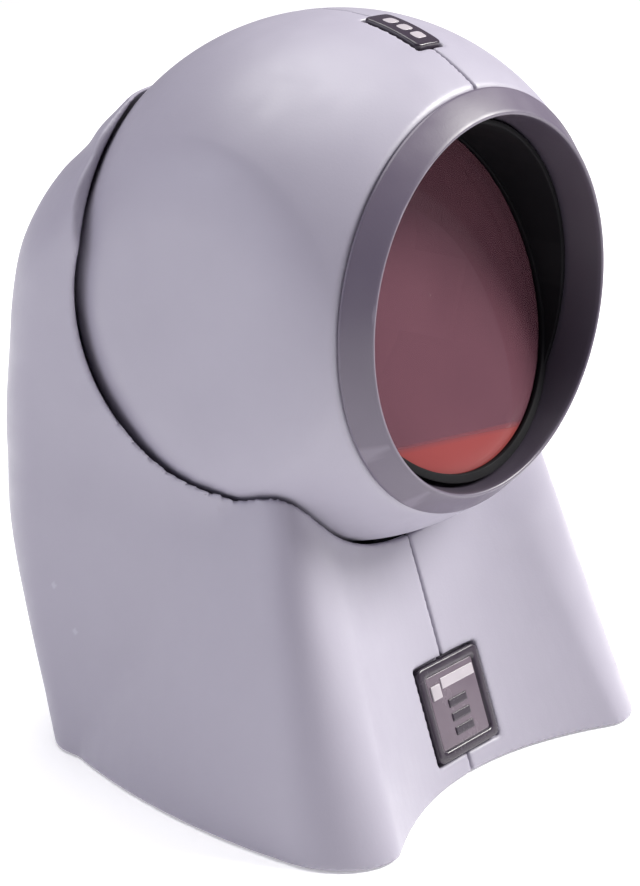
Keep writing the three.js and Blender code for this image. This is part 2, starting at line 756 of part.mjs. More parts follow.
addMesh(head, "bezel_ring", bezelRing(), TRIM);
addMesh(head, "inner_hood", innerHood(), BLACK);
addMesh(head, "window_pane", windowPane(), RED_PANE);
addMesh(head, "window_gasket", windowGasket(), RUBBER);
addMesh(head, "indicator_lens", indicatorLens(), SMOKE);
addMesh(head, "led_board", ledBoard(), BOARD);
addMesh(head, "led_front", statusLed(-4.2), LED_RED);
addMesh(head, "led_middle", statusLed(0), LED_GREEN);
addMesh(head, "led_rear", statusLed(4.2), LED_RED);
addMesh(head, "optical_chassis", opticalChassis(), BLACK);
MIRROR_ANGLES.forEach((angle, i) => {
  addMesh(head, `pattern_mirror_${i + 1}`, patternMirror(angle), MIRROR);
});
addMesh(head, "heat_sink", heatSink(), STEEL);
addMesh(head, "laser_module", laserModule(), COPPER);
addMesh(head, "collector_mirror", collectorMirror(), MIRROR);
addMesh(head, "main_board", mainBoard(), BOARD);
addMesh(head, "beeper", beeper(), BLACK);
addMesh(head, "motor_base", motorBase(), ZINC);
addMesh(head, "motor_coil", motorCoil(), COPPER);
addMesh(head, "polygon_wheel", polygonWheel(), MIRROR);
addMesh(head, "magnet_ring", magnetRing(), STEEL);
addMesh(head, "rotor_shaft", rotorShaft(), ZINC);

export default scanner;
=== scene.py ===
"""Looks of the hands-free presentation scanner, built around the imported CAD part.

Lengths are in millimetres until a mesh is made, where MM turns them into metres.
"""
import json
import math

import bmesh
import bpy
import numpy as np
from mathutils import Matrix, Vector


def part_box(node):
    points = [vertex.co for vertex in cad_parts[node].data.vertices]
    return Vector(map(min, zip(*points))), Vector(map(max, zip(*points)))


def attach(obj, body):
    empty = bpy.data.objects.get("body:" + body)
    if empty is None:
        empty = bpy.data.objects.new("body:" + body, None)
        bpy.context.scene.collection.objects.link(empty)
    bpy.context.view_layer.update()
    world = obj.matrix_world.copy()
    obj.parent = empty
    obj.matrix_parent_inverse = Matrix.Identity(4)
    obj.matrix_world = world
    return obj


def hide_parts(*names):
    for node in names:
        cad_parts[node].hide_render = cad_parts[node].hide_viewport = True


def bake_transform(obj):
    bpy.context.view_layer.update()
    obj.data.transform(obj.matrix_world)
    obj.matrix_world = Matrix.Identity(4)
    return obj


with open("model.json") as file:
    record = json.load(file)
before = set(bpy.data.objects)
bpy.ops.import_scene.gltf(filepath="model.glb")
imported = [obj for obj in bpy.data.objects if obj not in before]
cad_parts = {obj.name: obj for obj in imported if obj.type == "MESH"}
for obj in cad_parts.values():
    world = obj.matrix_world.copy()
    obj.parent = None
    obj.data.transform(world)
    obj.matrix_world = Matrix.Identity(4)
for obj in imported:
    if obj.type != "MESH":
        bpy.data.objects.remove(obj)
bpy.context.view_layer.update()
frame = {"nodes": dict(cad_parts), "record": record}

MM = 0.001
TILT = next(j for j in frame["record"]["behaviour"]["joints"] if j["name"] == "head_tilt")
BALL = np.array(TILT["pos_m"]) / MM
STEP = 0.62

# ---- head ----
BALL_R = 52.4
HEAD_WALL = 2.4
CHEEK_X = 44.3
CHEEK_ROUND = 4.5
BEZEL_BACK = 33.2
BEZEL_R = 40.6
LIP_R = 36.4
LIP_FORWARD = 38.2
TUBE_R = 34.5
TUBE_WALL = 1.1
WINDOW_R = 33.1
WINDOW_FORWARD = 21.5
WINDOW_TILT = math.radians(19)
LENS_LEAN = math.radians(17.6)
SLOT_HALF = 3.2
SLOT_FROM = math.radians(-13.2)
SLOT_TO = math.radians(23.2)
LEAD_HOLE_Y = 28.7
LEAD_HOLE_HALF = 4.2
RING_BORE_R = 34.9
TUBE_FRONT = 30.2
PANE_HALF = 1.0
GASKET_R = 30.2
LENS_HALF_WIDTH = 3.6
LENS_HALF_LENGTH = 6.9
LENS_BOTTOM = 48.8
LENS_PROUD = 0.55

# ---- stand ----
CUP_R = 53.2
CUP_WALL = 2.2
CUP_EDGE_R = 28.4
STAND_WALL = 2.5
SEAM = 0.15
STAND_BOTTOM = 0.4
CAVITY_TOP = 92.0
FRONT_FOOT_Y = -41.2
FRONT_LEAN = 0.352
FRONT_HOLLOW = 0.0078
SIDE_X = 53.4
SIDE_WIDEST_Y = -20.8
SIDE_BOW = 0.0033
SIDE_LEAN = 0.2
SKIRT_TOP = 68.0
SKIRT_SPAN = 60.0
TOE_X = 36.5
TOE_X_FALL = 11.5
TOE_SIDE_Y = -37.8
TOE_SIDE_RISE = 17.5
CREASE = 0.8
HOOD_REAR_HALF = 46.0
HOOD_EDGE_Y = 18.0
HOOD_EDGE_LEAN = math.radians(7.4)
HOOD_EDGE_MIDDLE = 95.0
HOOD_EDGE_FOOT = 88.0
HOOD_TOP = 134.0
HOOD_WIDEST_Z = 128.0
BADGE_TILT = math.radians(19.4)
BADGE_Z = 14.1
BADGE_HALF = 9.85
BADGE_SEAT_HALF = 10.2
BOSS_SPOTS = ((43.4, -14.0), (40.6, 20.0))
BOSS_R = 3.4
BOSS_BOTTOM = 3.4
SOCKET_HALF = 8.2
SOCKET_LOW = 6.8
SOCKET_HIGH = 20.4

# Hood stations: height, half width at the front of the side, rear y, corner radius.
HOOD = np.array([
    [0, 46, 38.2, 9.5],
    [10, 45.9, 40.9, 10],
    [20, 45.5, 44.1, 11],
    [30, 44.9, 47.5, 12.5],
    [40, 43.9, 50.2, 13.5],
    [50, 42.7, 51.9, 14.5],
    [60, 41.3, 52.2, 15.5],
    [68, 42.6, 52.0, 15.5],
    [76, 44.5, 51.1, 15.5],
    [84, 44.9, 50.4, 16.5],
    [94, 44.9, 50.3, 19],
    [104, 44.9, 49.6, 23],
    [112, 44.9, 48.2, 29.5],
    [119, 45.2, 45.4, 36.5],
    [124, 45.8, 42.4, 43.5],
    [128, 45.9, 39.6, 45.5],
    [131, 43.4, 36.6, 43.4],
    [134, 40.4, 33.6, 40.4],
])


# ---- meshes ----
def add_object(name, points, faces, material, body, stands_for=()):
    """A mesh object from millimetre points, riding on a CAD body."""
    mesh = bpy.data.meshes.new(name)
    mesh.from_pydata(np.asarray(points, float) * MM, [], faces)
    mesh.validate()
    mesh.polygons.foreach_set("use_smooth", [True] * len(mesh.polygons))
    mesh.materials.append(material)
    piece = bpy.data.objects.new(name, mesh)
    bpy.context.collection.objects.link(piece)
    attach(piece, body)
    if stands_for:
        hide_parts(*stands_for)
    return piece


CORNERS = [(i, j, k) for i in (0, 1) for j in (0, 1) for k in (0, 1)]
EDGES = [
    (a, b) for a in CORNERS for b in CORNERS
    if sum(b) - sum(a) == 1 and all(q >= p for p, q in zip(a, b))
]


def quads_across(inside, index, axis):
    """The quads around the grid edges along one axis that the surface crosses."""
    u, v = (axis + 1) % 3, (axis + 2) % 3
    first = [slice(None)] * 3
    second = [slice(None)] * 3
    first[axis], second[axis] = slice(0, -1), slice(1, None)
    starts = inside[tuple(first)]
    crossed = np.argwhere(starts != inside[tuple(second)])
    room = np.array(index.shape)
    low_enough = (crossed[:, u] < room[u]) & (crossed[:, v] < room[v])
    crossed = crossed[(crossed[:, u] > 0) & (crossed[:, v] > 0) & low_enough]
    goes_out = starts[tuple(crossed.T)]
    step_u, step_v = np.eye(3, dtype=int)[u], np.eye(3, dtype=int)[v]
    around = [crossed - step_u - step_v, crossed - step_v, crossed, crossed - step_u]
    quads = np.stack([index[tuple(c.T)] for c in around], axis=1)
    quads[~goes_out] = quads[~goes_out][:, ::-1]
    return quads


def sampled(values, places):
    """The field between its grid points, by trilinear interpolation."""
    limit = np.array(values.shape) - 1.001
    places = np.clip(places, 0, limit)
    base = places.astype(int)
    part = places - base
    total = np.zeros(len(places))
    for corner in CORNERS:
        weight = np.ones(len(places))
        for axis in range(3):
            weight = weight * (part[:, axis] if corner[axis] else 1 - part[:, axis])
        total += weight * values[tuple((base + corner).T)]
    return total


def settle(values, points, rounds=3):
    """Moves the net's points onto the surface itself."""
    start = points.copy()
    for _ in range(rounds):
        slopes = [sampled(values, points + 0.5 * e) - sampled(values, points - 0.5 * e) for e in np.eye(3)]
        gradient = np.stack(slopes, axis=1)
        size = np.maximum((gradient**2).sum(axis=1), 0.05)
        points = points - gradient * (sampled(values, points) / size)[:, None]
        points = start + np.clip(points - start, -0.6, 0.6)
    return points


def surface_net(values, origin, step):
    """A closed quad mesh of the zero level of a sampled field, negative inside."""
    inside = values < 0
    room = tuple(n - 1 for n in values.shape)
    filled = np.zeros(room, int)
    for i, j, k in CORNERS:
        filled += inside[i : i + room[0], j : j + room[1], k : k + room[2]]
    active = (filled > 0) & (filled < 8)
    cells = np.argwhere(active)
    index = np.full(room, -1)
    index[active] = np.arange(len(cells))
    total = np.zeros((len(cells), 3))
    count = np.zeros(len(cells))
    for a, b in EDGES:
        va = values[tuple((cells + a).T)]
        vb = values[tuple((cells + b).T)]
        cross = (va < 0) != (vb < 0)
        share = va[cross] / (va[cross] - vb[cross])
        total[cross] += np.array(a) + share[:, None] * (np.array(b) - a)
        count[cross] += 1
    points = settle(values, cells + total / count[:, None])
    faces = np.concatenate([quads_across(inside, index, axis) for axis in range(3)])
    return origin + points * step, faces


def grid(low, high):
    """Sample positions one step apart from low to high, and the first of them."""
    axes = [np.arange(a, b + STEP, STEP) for a, b in zip(low, high)]
    return np.array(low, float), np.meshgrid(*axes, indexing="ij")


def smooth_max(a, b, k):
    """The larger of two fields, blended where they are less than k apart."""
    return np.maximum(a, b) + np.maximum(k - np.abs(a - b), 0) ** 2 / (4 * k)


def smooth_min(a, b, k):
    """The smaller of two fields, blended where they are less than k apart."""
    return -smooth_max(-a, -b, k)


def both_sides(name, field_of, low, high, material, body):
    """The right half of a field and its mirror image, which stand for the two CAD half shells."""
    origin, (x, y, z) = grid(low, high)
    values = smooth_max(field_of(x, y, z), SEAM - x, 0.35)
    points, faces = surface_net(values, origin, STEP)
    for side, word in ((1, "right"), (-1, "left")):
        node = f"{name}_{word}_shell"
        placed = points * (side, 1, 1)
        ordered = faces if side > 0 else faces[:, ::-1]
        add_object(f"{node}_skin", placed, ordered.tolist(), material, body, [node])


# ---- stand outlines ----
def hood_at(z, column):
    """Smooth value of one hood column at a height."""
    i = int(np.clip(np.searchsorted(HOOD[:, 0], z) - 1, 0, len(HOOD) - 2))
    p0, p1, p2, p3 = (HOOD[min(max(k, 0), len(HOOD) - 1)] for k in (i - 1, i, i + 1, i + 2))
    span = p2[0] - p1[0]
    t = min(max((z - p1[0]) / span, 0), 1)
    m1 = (p2[column] - p0[column]) / (p2[0] - p0[0]) * span
    m2 = (p3[column] - p1[column]) / (p3[0] - p1[0]) * span
    near = (2 * t**3 - 3 * t**2 + 1) * p1[column] + (t**3 - 2 * t**2 + t) * m1
    return near + (-2 * t**3 + 3 * t**2) * p2[column] + (t**3 - t**2) * m2


def front_y(x, z):
    """Where the hollow front of the skirt stands."""
    return FRONT_FOOT_Y + FRONT_LEAN * z - FRONT_HOLLOW * x * x


def side_x(y, z):
    """How far out the bowed, leaning side stands."""
    return SIDE_X - SIDE_BOW * (y - SIDE_WIDEST_Y) ** 2 - SIDE_LEAN * z


def skirt_half(z):
    """Half outline of the front skirt at a height: hollow front, round toe, leaning side."""
    rise = z / SKIRT_SPAN
    x0 = TOE_X - TOE_X_FALL * rise
    y3 = TOE_SIDE_Y + TOE_SIDE_RISE * rise
    xs = np.linspace(0, x0, 14, endpoint=False)
    front = np.stack([xs, front_y(xs, z)], axis=1)
    start = np.array([x0, front_y(x0, z)])
    end = np.array([side_x(y3, z), y3])
    leave = np.array([1, -2 * FRONT_HOLLOW * x0])
    arrive = np.array([2 * SIDE_BOW * (y3 - SIDE_WIDEST_Y), -1])
    c1 = start + leave / np.linalg.norm(leave) * (6 + 2.2 * rise)
    c2 = end + arrive / np.linalg.norm(arrive) * (10.5 + 1.5 * rise)
    t = np.linspace(0, 1, 22)[:, None]
    toe = (1 - t) ** 3 * start + 3 * (1 - t) ** 2 * t * c1 + 3 * (1 - t) * t**2 * c2 + t**3 * end
    ys = np.linspace(y3, 23.5, 12)[1:]
    side = np.stack([side_x(ys, z), ys], axis=1)
    rear = np.array([[side_x(26.5, z) - 0.6, 26.5], [28, 28], [0, 28]])
    return np.concatenate([front, toe, side, rear])


def hood_half(z):
    """Half outline of the rear hood at a height: a rounded block whose front tapers into the skirt."""
    front = hood_at(z, 1)
    rear = hood_at(z, 2)
    w = max(front, min(HOOD_REAR_HALF, hood_at(max(z, HOOD_WIDEST_Z), 1)))
    r = min(hood_at(z, 3), w - 0.1)
    a = np.linspace(0, math.pi / 2, 24)
    corner = np.stack([w - r + r * np.cos(a), rear - r + r * np.sin(a)], axis=1)
    nose = np.array([[0, -23], [front - 4.2, -23], [front, -11]])
    return np.concatenate([nose, corner, [[0, rear]]])


def distance_to(half, x, y):
    """Signed distance to a closed outline made of a half outline and its mirror image."""
    loop = np.concatenate([half, half[-2:0:-1] * (-1, 1)])
    best = np.full(x.shape, 1e9)
    winding = np.zeros(x.shape, bool)
    for (x0, y0), (x1, y1) in zip(loop, np.roll(loop, -1, axis=0)):
        ex, ey = x1 - x0, y1 - y0
        length = ex * ex + ey * ey
        if length < 1e-9:
            continue
        if max(x0, x1) > -8:
            t = np.clip(((x - x0) * ex + (y - y0) * ey) / length, 0, 1)
            best = np.minimum(best, (x - x0 - t * ex) ** 2 + (y - y0 - t * ey) ** 2)
        if y0 != y1:
            beyond = ((y0 > y) != (y1 > y)) & (x < x0 + (y - y0) * ex / ey)
            winding ^= beyond
    return np.where(winding, -1, 1) * np.sqrt(best)


def level_field(half_at, x, y, z, top):
    """Distance to an outline that changes with height."""
    field = np.full(x.shape, 40.0)
    for k in range(x.shape[2]):
        height = z[0, 0, k]
        if height <= top + 3:
            field[:, :, k] = distance_to(half_at(height), x[:, :, k], y[:, :, k])
    return field


def radius_from_ball(x, y, z):
    return np.sqrt((x - BALL[0]) ** 2 + (y - BALL[1]) ** 2 + (z - BALL[2]) ** 2)


def box_field(x, y, z, low, high):
    """A field that is negative inside a box."""
    sides = [np.maximum(a - v, v - b) for v, a, b in zip((x, y, z), low, high)]
    return np.maximum(np.maximum(sides[0], sides[1]), sides[2])


def badge_place(x, y, z):
    """Coordinates across, out of and up the leaning badge seat."""
    out = -(y - front_y(0, BADGE_Z))
    up = z - BADGE_Z
    cos, sin = math.cos(BADGE_TILT), math.sin(BADGE_TILT)
    return x, out * cos + up * sin, up * cos - out * sin


def stand_cavity(x, y, z, outer, radius):
    """The hollow inside the stand, up to its wall, the cup's wall and the screw bosses."""
    cavity = np.maximum(outer + STAND_WALL, z - CAVITY_TOP)
    cavity = np.maximum(cavity, CUP_R + CUP_WALL - radius)
    for bx, by in BOSS_SPOTS:
        boss = np.maximum(np.hypot(x - bx, y - by) - BOSS_R, BOSS_BOTTOM - z)
        cavity = np.maximum(cavity, -np.maximum(boss, outer + 0.8))
    return cavity


def stand_openings(x, y, z, solid):
    """Cuts the badge seat, the cable socket, the clamp's window and the lead's window."""
    seat_low = (-BADGE_SEAT_HALF, -1.3, -BADGE_SEAT_HALF)
    seat = box_field(*badge_place(x, y, z), seat_low, (BADGE_SEAT_HALF, 6, BADGE_SEAT_HALF))
    solid = smooth_max(solid, -seat, 0.5)
    socket = box_field(x, y, z, (-SOCKET_HALF, 27, SOCKET_LOW), (SOCKET_HALF, 70, SOCKET_HIGH))
    solid = smooth_max(solid, -socket, 0.8)
    under = box_field(x, y, z, (-9, BALL[1] - 16, 30), (9, BALL[1] + 16, 60))
    lead_window = box_field(x, y, z, (-5, BALL[1] + 15, 40), (5, BALL[1] + 43, 75))
    return np.maximum(np.maximum(solid, -under), -lead_window)


def stand_field(x, y, z):
    """The hollow stand: skirt and hood in one soft skin around the cup."""
    cos, sin = math.cos(HOOD_EDGE_LEAN), math.sin(HOOD_EDGE_LEAN)
    skirt = level_field(skirt_half, x, y, z, SKIRT_TOP) * 0.96
    hood = level_field(hood_half, x, y, z, HOOD_TOP)
    behind_edge = -((y - HOOD_EDGE_Y) * cos - (z - HOOD_EDGE_MIDDLE) * sin)
    outer = smooth_min(skirt, hood, CREASE)
    radius = radius_from_ball(x, y, z)
    upper = np.maximum(np.minimum(behind_edge, z - HOOD_EDGE_FOOT), z - HOOD_TOP)
    solid = smooth_max(np.maximum(outer, STAND_BOTTOM - z), upper, 0.9)
    solid = smooth_max(solid, CUP_R - radius, 0.5)
    solid = smooth_max(solid, CUP_EDGE_R - np.hypot(y - BALL[1], z - BALL[2]), 0.5)
    solid = np.maximum(solid, -stand_cavity(x, y, z, outer, radius))
    return stand_openings(x, y, z, solid)


# ---- head ----
def cheeked_ball(x, y, z, inset):
    """Distance to the ball with its two flat cheeks and their soft edge."""
    r = CHEEK_ROUND
    to_ball = np.sqrt(x * x + y * y + z * z) - (BALL_R - inset) + r
    to_cheek = np.abs(x) - (CHEEK_X - inset) + r
    outside = np.hypot(np.maximum(to_ball, 0), np.maximum(to_cheek, 0))
    return outside + np.minimum(np.maximum(to_ball, to_cheek), 0) - r


def lens_place(x, y, z):
    """Coordinates across, along and out of the leaning lens on the ball's crown."""
    cos, sin = math.cos(LENS_LEAN), math.sin(LENS_LEAN)
    return x, y * cos + z * sin, z * cos - y * sin


def head_field(x, y, z):
    """The hollow ball: cheeks, bezel opening, lens seat, tilt slot and lead hole."""
    y = y - BALL[1]
    z = z - BALL[2]
    shell = np.maximum(cheeked_ball(x, y, z, 0), -cheeked_ball(x, y, z, HEAD_WALL))
    shell = smooth_max(shell, -(BEZEL_BACK - 0.3) - y, 0.7)
    seat = box_field(*lens_place(x, y, z), (-3.9, -7.2, 46), (3.9, 7.2, 58))
    shell = smooth_max(shell, -seat, 0.5)
    angle = np.arctan2(y, -z)
    middle, half = (SLOT_FROM + SLOT_TO) / 2, (SLOT_TO - SLOT_FROM) / 2
    slot = np.maximum(np.abs(x) - SLOT_HALF, (np.abs(angle - middle) - half) * BALL_R)
    shell = np.maximum(shell, -slot)
    hole_low = (-SLOT_HALF, LEAD_HOLE_Y - LEAD_HOLE_HALF, -60)
    hole = box_field(x, y, z, hole_low, (SLOT_HALF, LEAD_HOLE_Y + LEAD_HOLE_HALF, -30))
    return np.maximum(shell, -hole)


def softened(profile, radius, steps=4):
    """A closed profile with each corner turned into a short arc."""
    count = len(profile)
    points = []
    for i in range(count):
        p = np.array(profile[i], float)
        before = np.array(profile[i - 1], float) - p
        after = np.array(profile[(i + 1) % count], float) - p
        cut = min(radius, 0.45 * np.linalg.norm(before), 0.45 * np.linalg.norm(after))
        a = p + before / np.linalg.norm(before) * cut
        b = p + after / np.linalg.norm(after) * cut
        for t in np.linspace(0, 1, steps):
            points.append((1 - t) ** 2 * a + 2 * t * (1 - t) * p + t * t * b)
    return points


def turned(profile, sides=192):
    """Points and quads of a ring turned about the head's forward axis.

    Profile points are (radius, forward, lean share): a share of 1 follows the tilted window.
    """
    count = len(profile)
    points = []
    for s in range(sides):
        a = 2 * math.pi * s / sides
        up = math.sin(a)
        for r, f, share in profile:
            forward = f - share * r * up * math.tan(WINDOW_TILT)
            points.append((r * math.cos(a), BALL[1] - forward, BALL[2] + r * up))
    faces = []
    for s in range(sides):
        n = (s + 1) % sides
        for i in range(count):
            j = (i + 1) % count
            faces.append((s * count + i, s * count + j, n * count + j, n * count + i))
    return points, faces


def square(profile):
    """Profile points that don't lean."""
    return [(r, f, 0) for r, f in profile]


def add_turned(name, profile, radius, material, node):
    """A turned piece of the head with corners softened by a radius, standing for one CAD node."""
    points, faces = turned(softened(profile, radius))
    piece = add_object(name, points, faces, material, "head", [node])
    face_outwards(piece)


def face_outwards(piece):
    bm = bmesh.new()
    bm.from_mesh(piece.data)
    bmesh.ops.recalc_face_normals(bm, faces=bm.faces)
    bm.to_mesh(piece.data)
    bm.free()


def add_net(name, field_of, low, high, step, place, material, body, stands_for=()):
    """A small piece from a field in its own coordinates, put in its place by a function."""
    axes = [np.arange(a, b + step, step) for a, b in zip(low, high)]
    values = field_of(*np.meshgrid(*axes, indexing="ij"))
    points, faces = surface_net(values, np.array(low, float), step)
    add_object(name, place(points), faces.tolist(), material, body, stands_for)


def rounded_box(x, y, z, low, high, r):
    """Distance to a box with round edges."""
    parts = [np.abs(v - (a + b) / 2) - (b - a) / 2 + r for v, a, b in zip((x, y, z), low, high)]
    outside = np.sqrt(sum(np.maximum(p, 0) ** 2 for p in parts))
    return outside + np.minimum(np.maximum(np.maximum(parts[0], parts[1]), parts[2]), 0) - r


# ---- materials ----
class Nodes:
    """A material's node tree with short ways to add and join nodes."""

    def __init__(self, name):
        self.material = bpy.data.materials.new(name)
        self.material.use_nodes = True
        self.tree = self.material.node_tree
        self.shader = self.tree.nodes["Principled BSDF"]
        coordinates = self.tree.nodes.new("ShaderNodeTexCoord")
        self.place = coordinates.outputs["Object"]

    def add(self, kind, **values):
        node = self.tree.nodes.new(kind)
        for name, value in values.items():
            setattr(node, name, value)
        return node

    def join(self, output, target):
        self.tree.links.new(output, target)

    def colour(self, output):
        self.join(output, self.shader.inputs["Base Color"])

    def roughness(self, factor, low, high):
        self.join(self.between(factor, low, high), self.shader.inputs["Roughness"])

    def noise(self, scale, detail=3.0):
        node = self.add("ShaderNodeTexNoise")
        node.inputs["Scale"].default_value = scale
        node.inputs["Detail"].default_value = detail
        node.inputs["Roughness"].default_value = 0.55
        self.join(self.place, node.inputs["Vector"])
        return node.outputs["Fac"]

    def radius(self):
        """Distance from the head's forward axis."""
        flat = self.add("ShaderNodeVectorMath", operation="MULTIPLY_ADD")
        flat.inputs[1].default_value = (1, 0, 1)
        flat.inputs[2].default_value = (0, 0, -BALL[2] * MM)
        self.join(self.place, flat.inputs[0])
        length = self.add("ShaderNodeVectorMath", operation="LENGTH")
        self.join(flat.outputs["Vector"], length.inputs[0])
        return length.outputs["Value"]

    def between(self, factor, low, high, start=0.3, end=0.7):
        """A value from low to high as the factor goes from start to end."""
        node = self.add("ShaderNodeMapRange")
        for name, value in (("From Min", start), ("From Max", end), ("To Min", low), ("To Max", high)):
            node.inputs[name].default_value = value
        self.join(factor, node.inputs["Value"])
        return node.outputs["Result"]

    def tones(self, factor, first, second, start=0.3, end=0.7):
        node = self.add("ShaderNodeValToRGB")
        node.color_ramp.elements[0].position = start
        node.color_ramp.elements[1].position = end
        node.color_ramp.elements[0].color = (*first, 1)
        node.color_ramp.elements[1].color = (*second, 1)
        self.join(factor, node.inputs["Fac"])
        return node.outputs["Color"]

    def over(self, factor, below, above):
        node = self.add("ShaderNodeMix", data_type="RGBA")
        self.join(factor, node.inputs["Factor"])
        self.join(below, node.inputs["A"])
        node.inputs["B"].default_value = (*above, 1)
        return node.outputs["Result"]

    def bump(self, heights, distance):
        """Bumps in metres from a list of (height, strength), one on top of the other."""
        normal = None
        for height, strength in heights:
            node = self.add("ShaderNodeBump")
            node.inputs["Strength"].default_value = strength
            node.inputs["Distance"].default_value = distance
            self.join(height, node.inputs["Height"])
            if normal is not None:
                self.join(normal, node.inputs["Normal"])
            normal = node.outputs["Normal"]
        self.join(normal, self.shader.inputs["Normal"])

    def set(self, **values):
        """Constant values straight on the shader, by its sockets' names."""
        for name, value in values.items():
            self.shader.inputs[name.replace("_", " ").title().replace("Ior", "IOR")].default_value = value


def moulded(name, tone, rough, grain=1900.0, depth=0.00004, wear=0.0, spread=0.04, gloss=0.5, painted_bore_shade=None):
    """Moulded plastic: spark-eroded grain, faint cloudy colour, paler worn edges.

    The last argument, a (radius, tone) pair, is painted shade: it darkens what lies inside that radius of
    the head's forward axis.
    """
    nodes = Nodes(name)
    darker = tuple(c * (1 - spread) for c in tone)
    lighter = tuple(min(c * (1 + spread), 1) for c in tone)
    colour = nodes.tones(nodes.noise(34, 4), darker, lighter)
    if wear:
        edge = nodes.add("ShaderNodeNewGeometry").outputs["Pointiness"]
        mask = nodes.between(edge, 0.0, wear, 0.53, 0.62)
        colour = nodes.over(mask, colour, tuple(min(c * 1.35 + 0.05, 1) for c in tone))
    # Painted shade: everything inside the given radius of the forward axis is darkened.
    if painted_bore_shade:
        radius, shade = painted_bore_shade
        mask = nodes.between(nodes.radius(), 1.0, 0.0, (radius - 0.25) * MM, radius * MM)
        colour = nodes.over(mask, colour, shade)
    nodes.colour(colour)
    nodes.roughness(nodes.noise(150, 3), rough - 0.06, rough + 0.06)
    nodes.shader.inputs["Specular IOR Level"].default_value = gloss
    nodes.bump([(nodes.noise(grain, 2), 0.35), (nodes.noise(60, 2), 0.12)], depth)
    return nodes.material


def metal(name, tone, rough, across=700.0):
    """Plated or turned metal with fine scratches and slight tarnish."""
    nodes = Nodes(name)
    dull = tuple(c * 0.8 for c in tone)
    nodes.colour(nodes.tones(nodes.noise(90, 4), dull, tone))
    nodes.shader.inputs["Metallic"].default_value = 1.0
    nodes.roughness(nodes.noise(across, 2), rough - 0.08, rough + 0.1)
    nodes.bump([(nodes.noise(across * 2, 2), 0.2)], 0.00002)
    return nodes.material


def mirror_silver():
    nodes = Nodes("mirror_silver")
    nodes.colour(nodes.tones(nodes.noise(40, 3), (0.82, 0.83, 0.85), (0.93, 0.94, 0.95)))
    nodes.shader.inputs["Metallic"].default_value = 1.0
    nodes.roughness(nodes.noise(260, 3), 0.02, 0.07)
    return nodes.material


def board_green():
    """Solder mask with lighter tracks."""
    nodes = Nodes("board_green")
    brick = nodes.add("ShaderNodeTexBrick")
    brick.inputs["Scale"].default_value = 260
    brick.inputs["Mortar Size"].default_value = 0.03
    brick.inputs["Color1"].default_value = (0.02, 0.12, 0.06, 1)
    brick.inputs["Color2"].default_value = (0.03, 0.16, 0.08, 1)
    brick.inputs["Mortar"].default_value = (0.07, 0.28, 0.13, 1)
    nodes.join(nodes.place, brick.inputs["Vector"])
    nodes.colour(brick.outputs["Color"])
    nodes.roughness(nodes.noise(300, 2), 0.3, 0.45)
    return nodes.material


def red_acrylic():
    """Tinted acrylic whose lower edge carries painted light: a brighter red where light would gather in
    it.
    """
    nodes = Nodes("red_acrylic")
    height = nodes.add("ShaderNodeVectorMath", operation="DOT_PRODUCT")
    height.inputs[1].default_value = (0.1, 0, 1)
    nodes.join(nodes.place, height.inputs[0])
    low = (BALL[2] - WINDOW_R) * MM
    # Painted light: the pane is painted a brighter red along its lower edge.
    rise = nodes.between(height.outputs["Value"], 1.0, 0.0, low + 0.0056, low + 0.0072)
    cloud = nodes.tones(nodes.noise(30, 3), (0.112, 0.046, 0.064), (0.136, 0.056, 0.075))
    colour = nodes.over(rise, cloud, (0.27, 0.056, 0.055))
    nodes.colour(colour)
    nodes.roughness(nodes.noise(220, 3), 0.05, 0.1)
    nodes.set(alpha=0.82, ior=1.49, coat_weight=0.3, coat_roughness=0.04)
    return nodes.material


def smoked(name, tone):
    """Glossy dark plastic or print."""
    nodes = Nodes(name)
    nodes.colour(nodes.tones(nodes.noise(60, 3), tuple(c * 0.85 for c in tone), tone))
    nodes.roughness(nodes.noise(240, 3), 0.16, 0.3)
    nodes.bump([(nodes.noise(500, 2), 0.08)], 0.00002)
    return nodes.material


def lamp(name, tone):
    """A clear coloured light body."""
    nodes = Nodes(name)
    nodes.colour(nodes.tones(nodes.noise(400, 2), tuple(c * 0.7 for c in tone), tone))
    nodes.roughness(nodes.noise(500, 2), 0.12, 0.25)
    return nodes.material


SHELL = moulded("shell_plastic_grain", (0.318, 0.298, 0.364), 0.42, wear=0.35, spread=0.02)
# The trim's inner wall inside the lip gets painted shade.
TRIM = moulded(
    "trim_plastic_grain", (0.103, 0.085, 0.122), 0.36, wear=0.5, painted_bore_shade=(LIP_R - 0.4, (0.045, 0.036, 0.052)),
)
BLACK = moulded("black_plastic_grain", (0.004, 0.0035, 0.005), 0.7, wear=0.05, spread=0.2, gloss=0.12)
RUBBER = moulded("rubber_grain", (0.02, 0.02, 0.022), 0.8, grain=900, depth=0.00008, spread=0.15)
BOARD = board_green()
STEEL = metal("steel_plain", (0.42, 0.43, 0.45), 0.38)
ZINC = metal("zinc_plate", (0.58, 0.60, 0.62), 0.34)
ALLOY = metal("alloy_plain", (0.62, 0.63, 0.65), 0.4)
COPPER = metal("copper_wire", (0.62, 0.30, 0.14), 0.35)
SILVER = mirror_silver()
PANE = red_acrylic()
SMOKE = smoked("smoked_gloss", (0.035, 0.026, 0.040))
BADGE_FIELD = smoked("badge_field", (0.13, 0.10, 0.13))
# Pale gloss for the badge band and lens windows, also used for the badge's painted glint.
PALE = smoked("pale_gloss_and_painted_glint", (0.42, 0.38, 0.42))
LAMP_RED = lamp("lamp_red", (0.6, 0.06, 0.04))
LAMP_GREEN = lamp("lamp_green", (0.06, 0.4, 0.1))


# ---- stand pieces ----
def badge_seat(points):
    """Badge coordinates (across, out, up) to the row frame."""
    across, out, up = points.T
    cos, sin = math.cos(BADGE_TILT), math.sin(BADGE_TILT)
    y = front_y(0, BADGE_Z) - (out * cos - up * sin)
    return np.stack([across, y, BADGE_Z + up * cos + out * sin], axis=1)


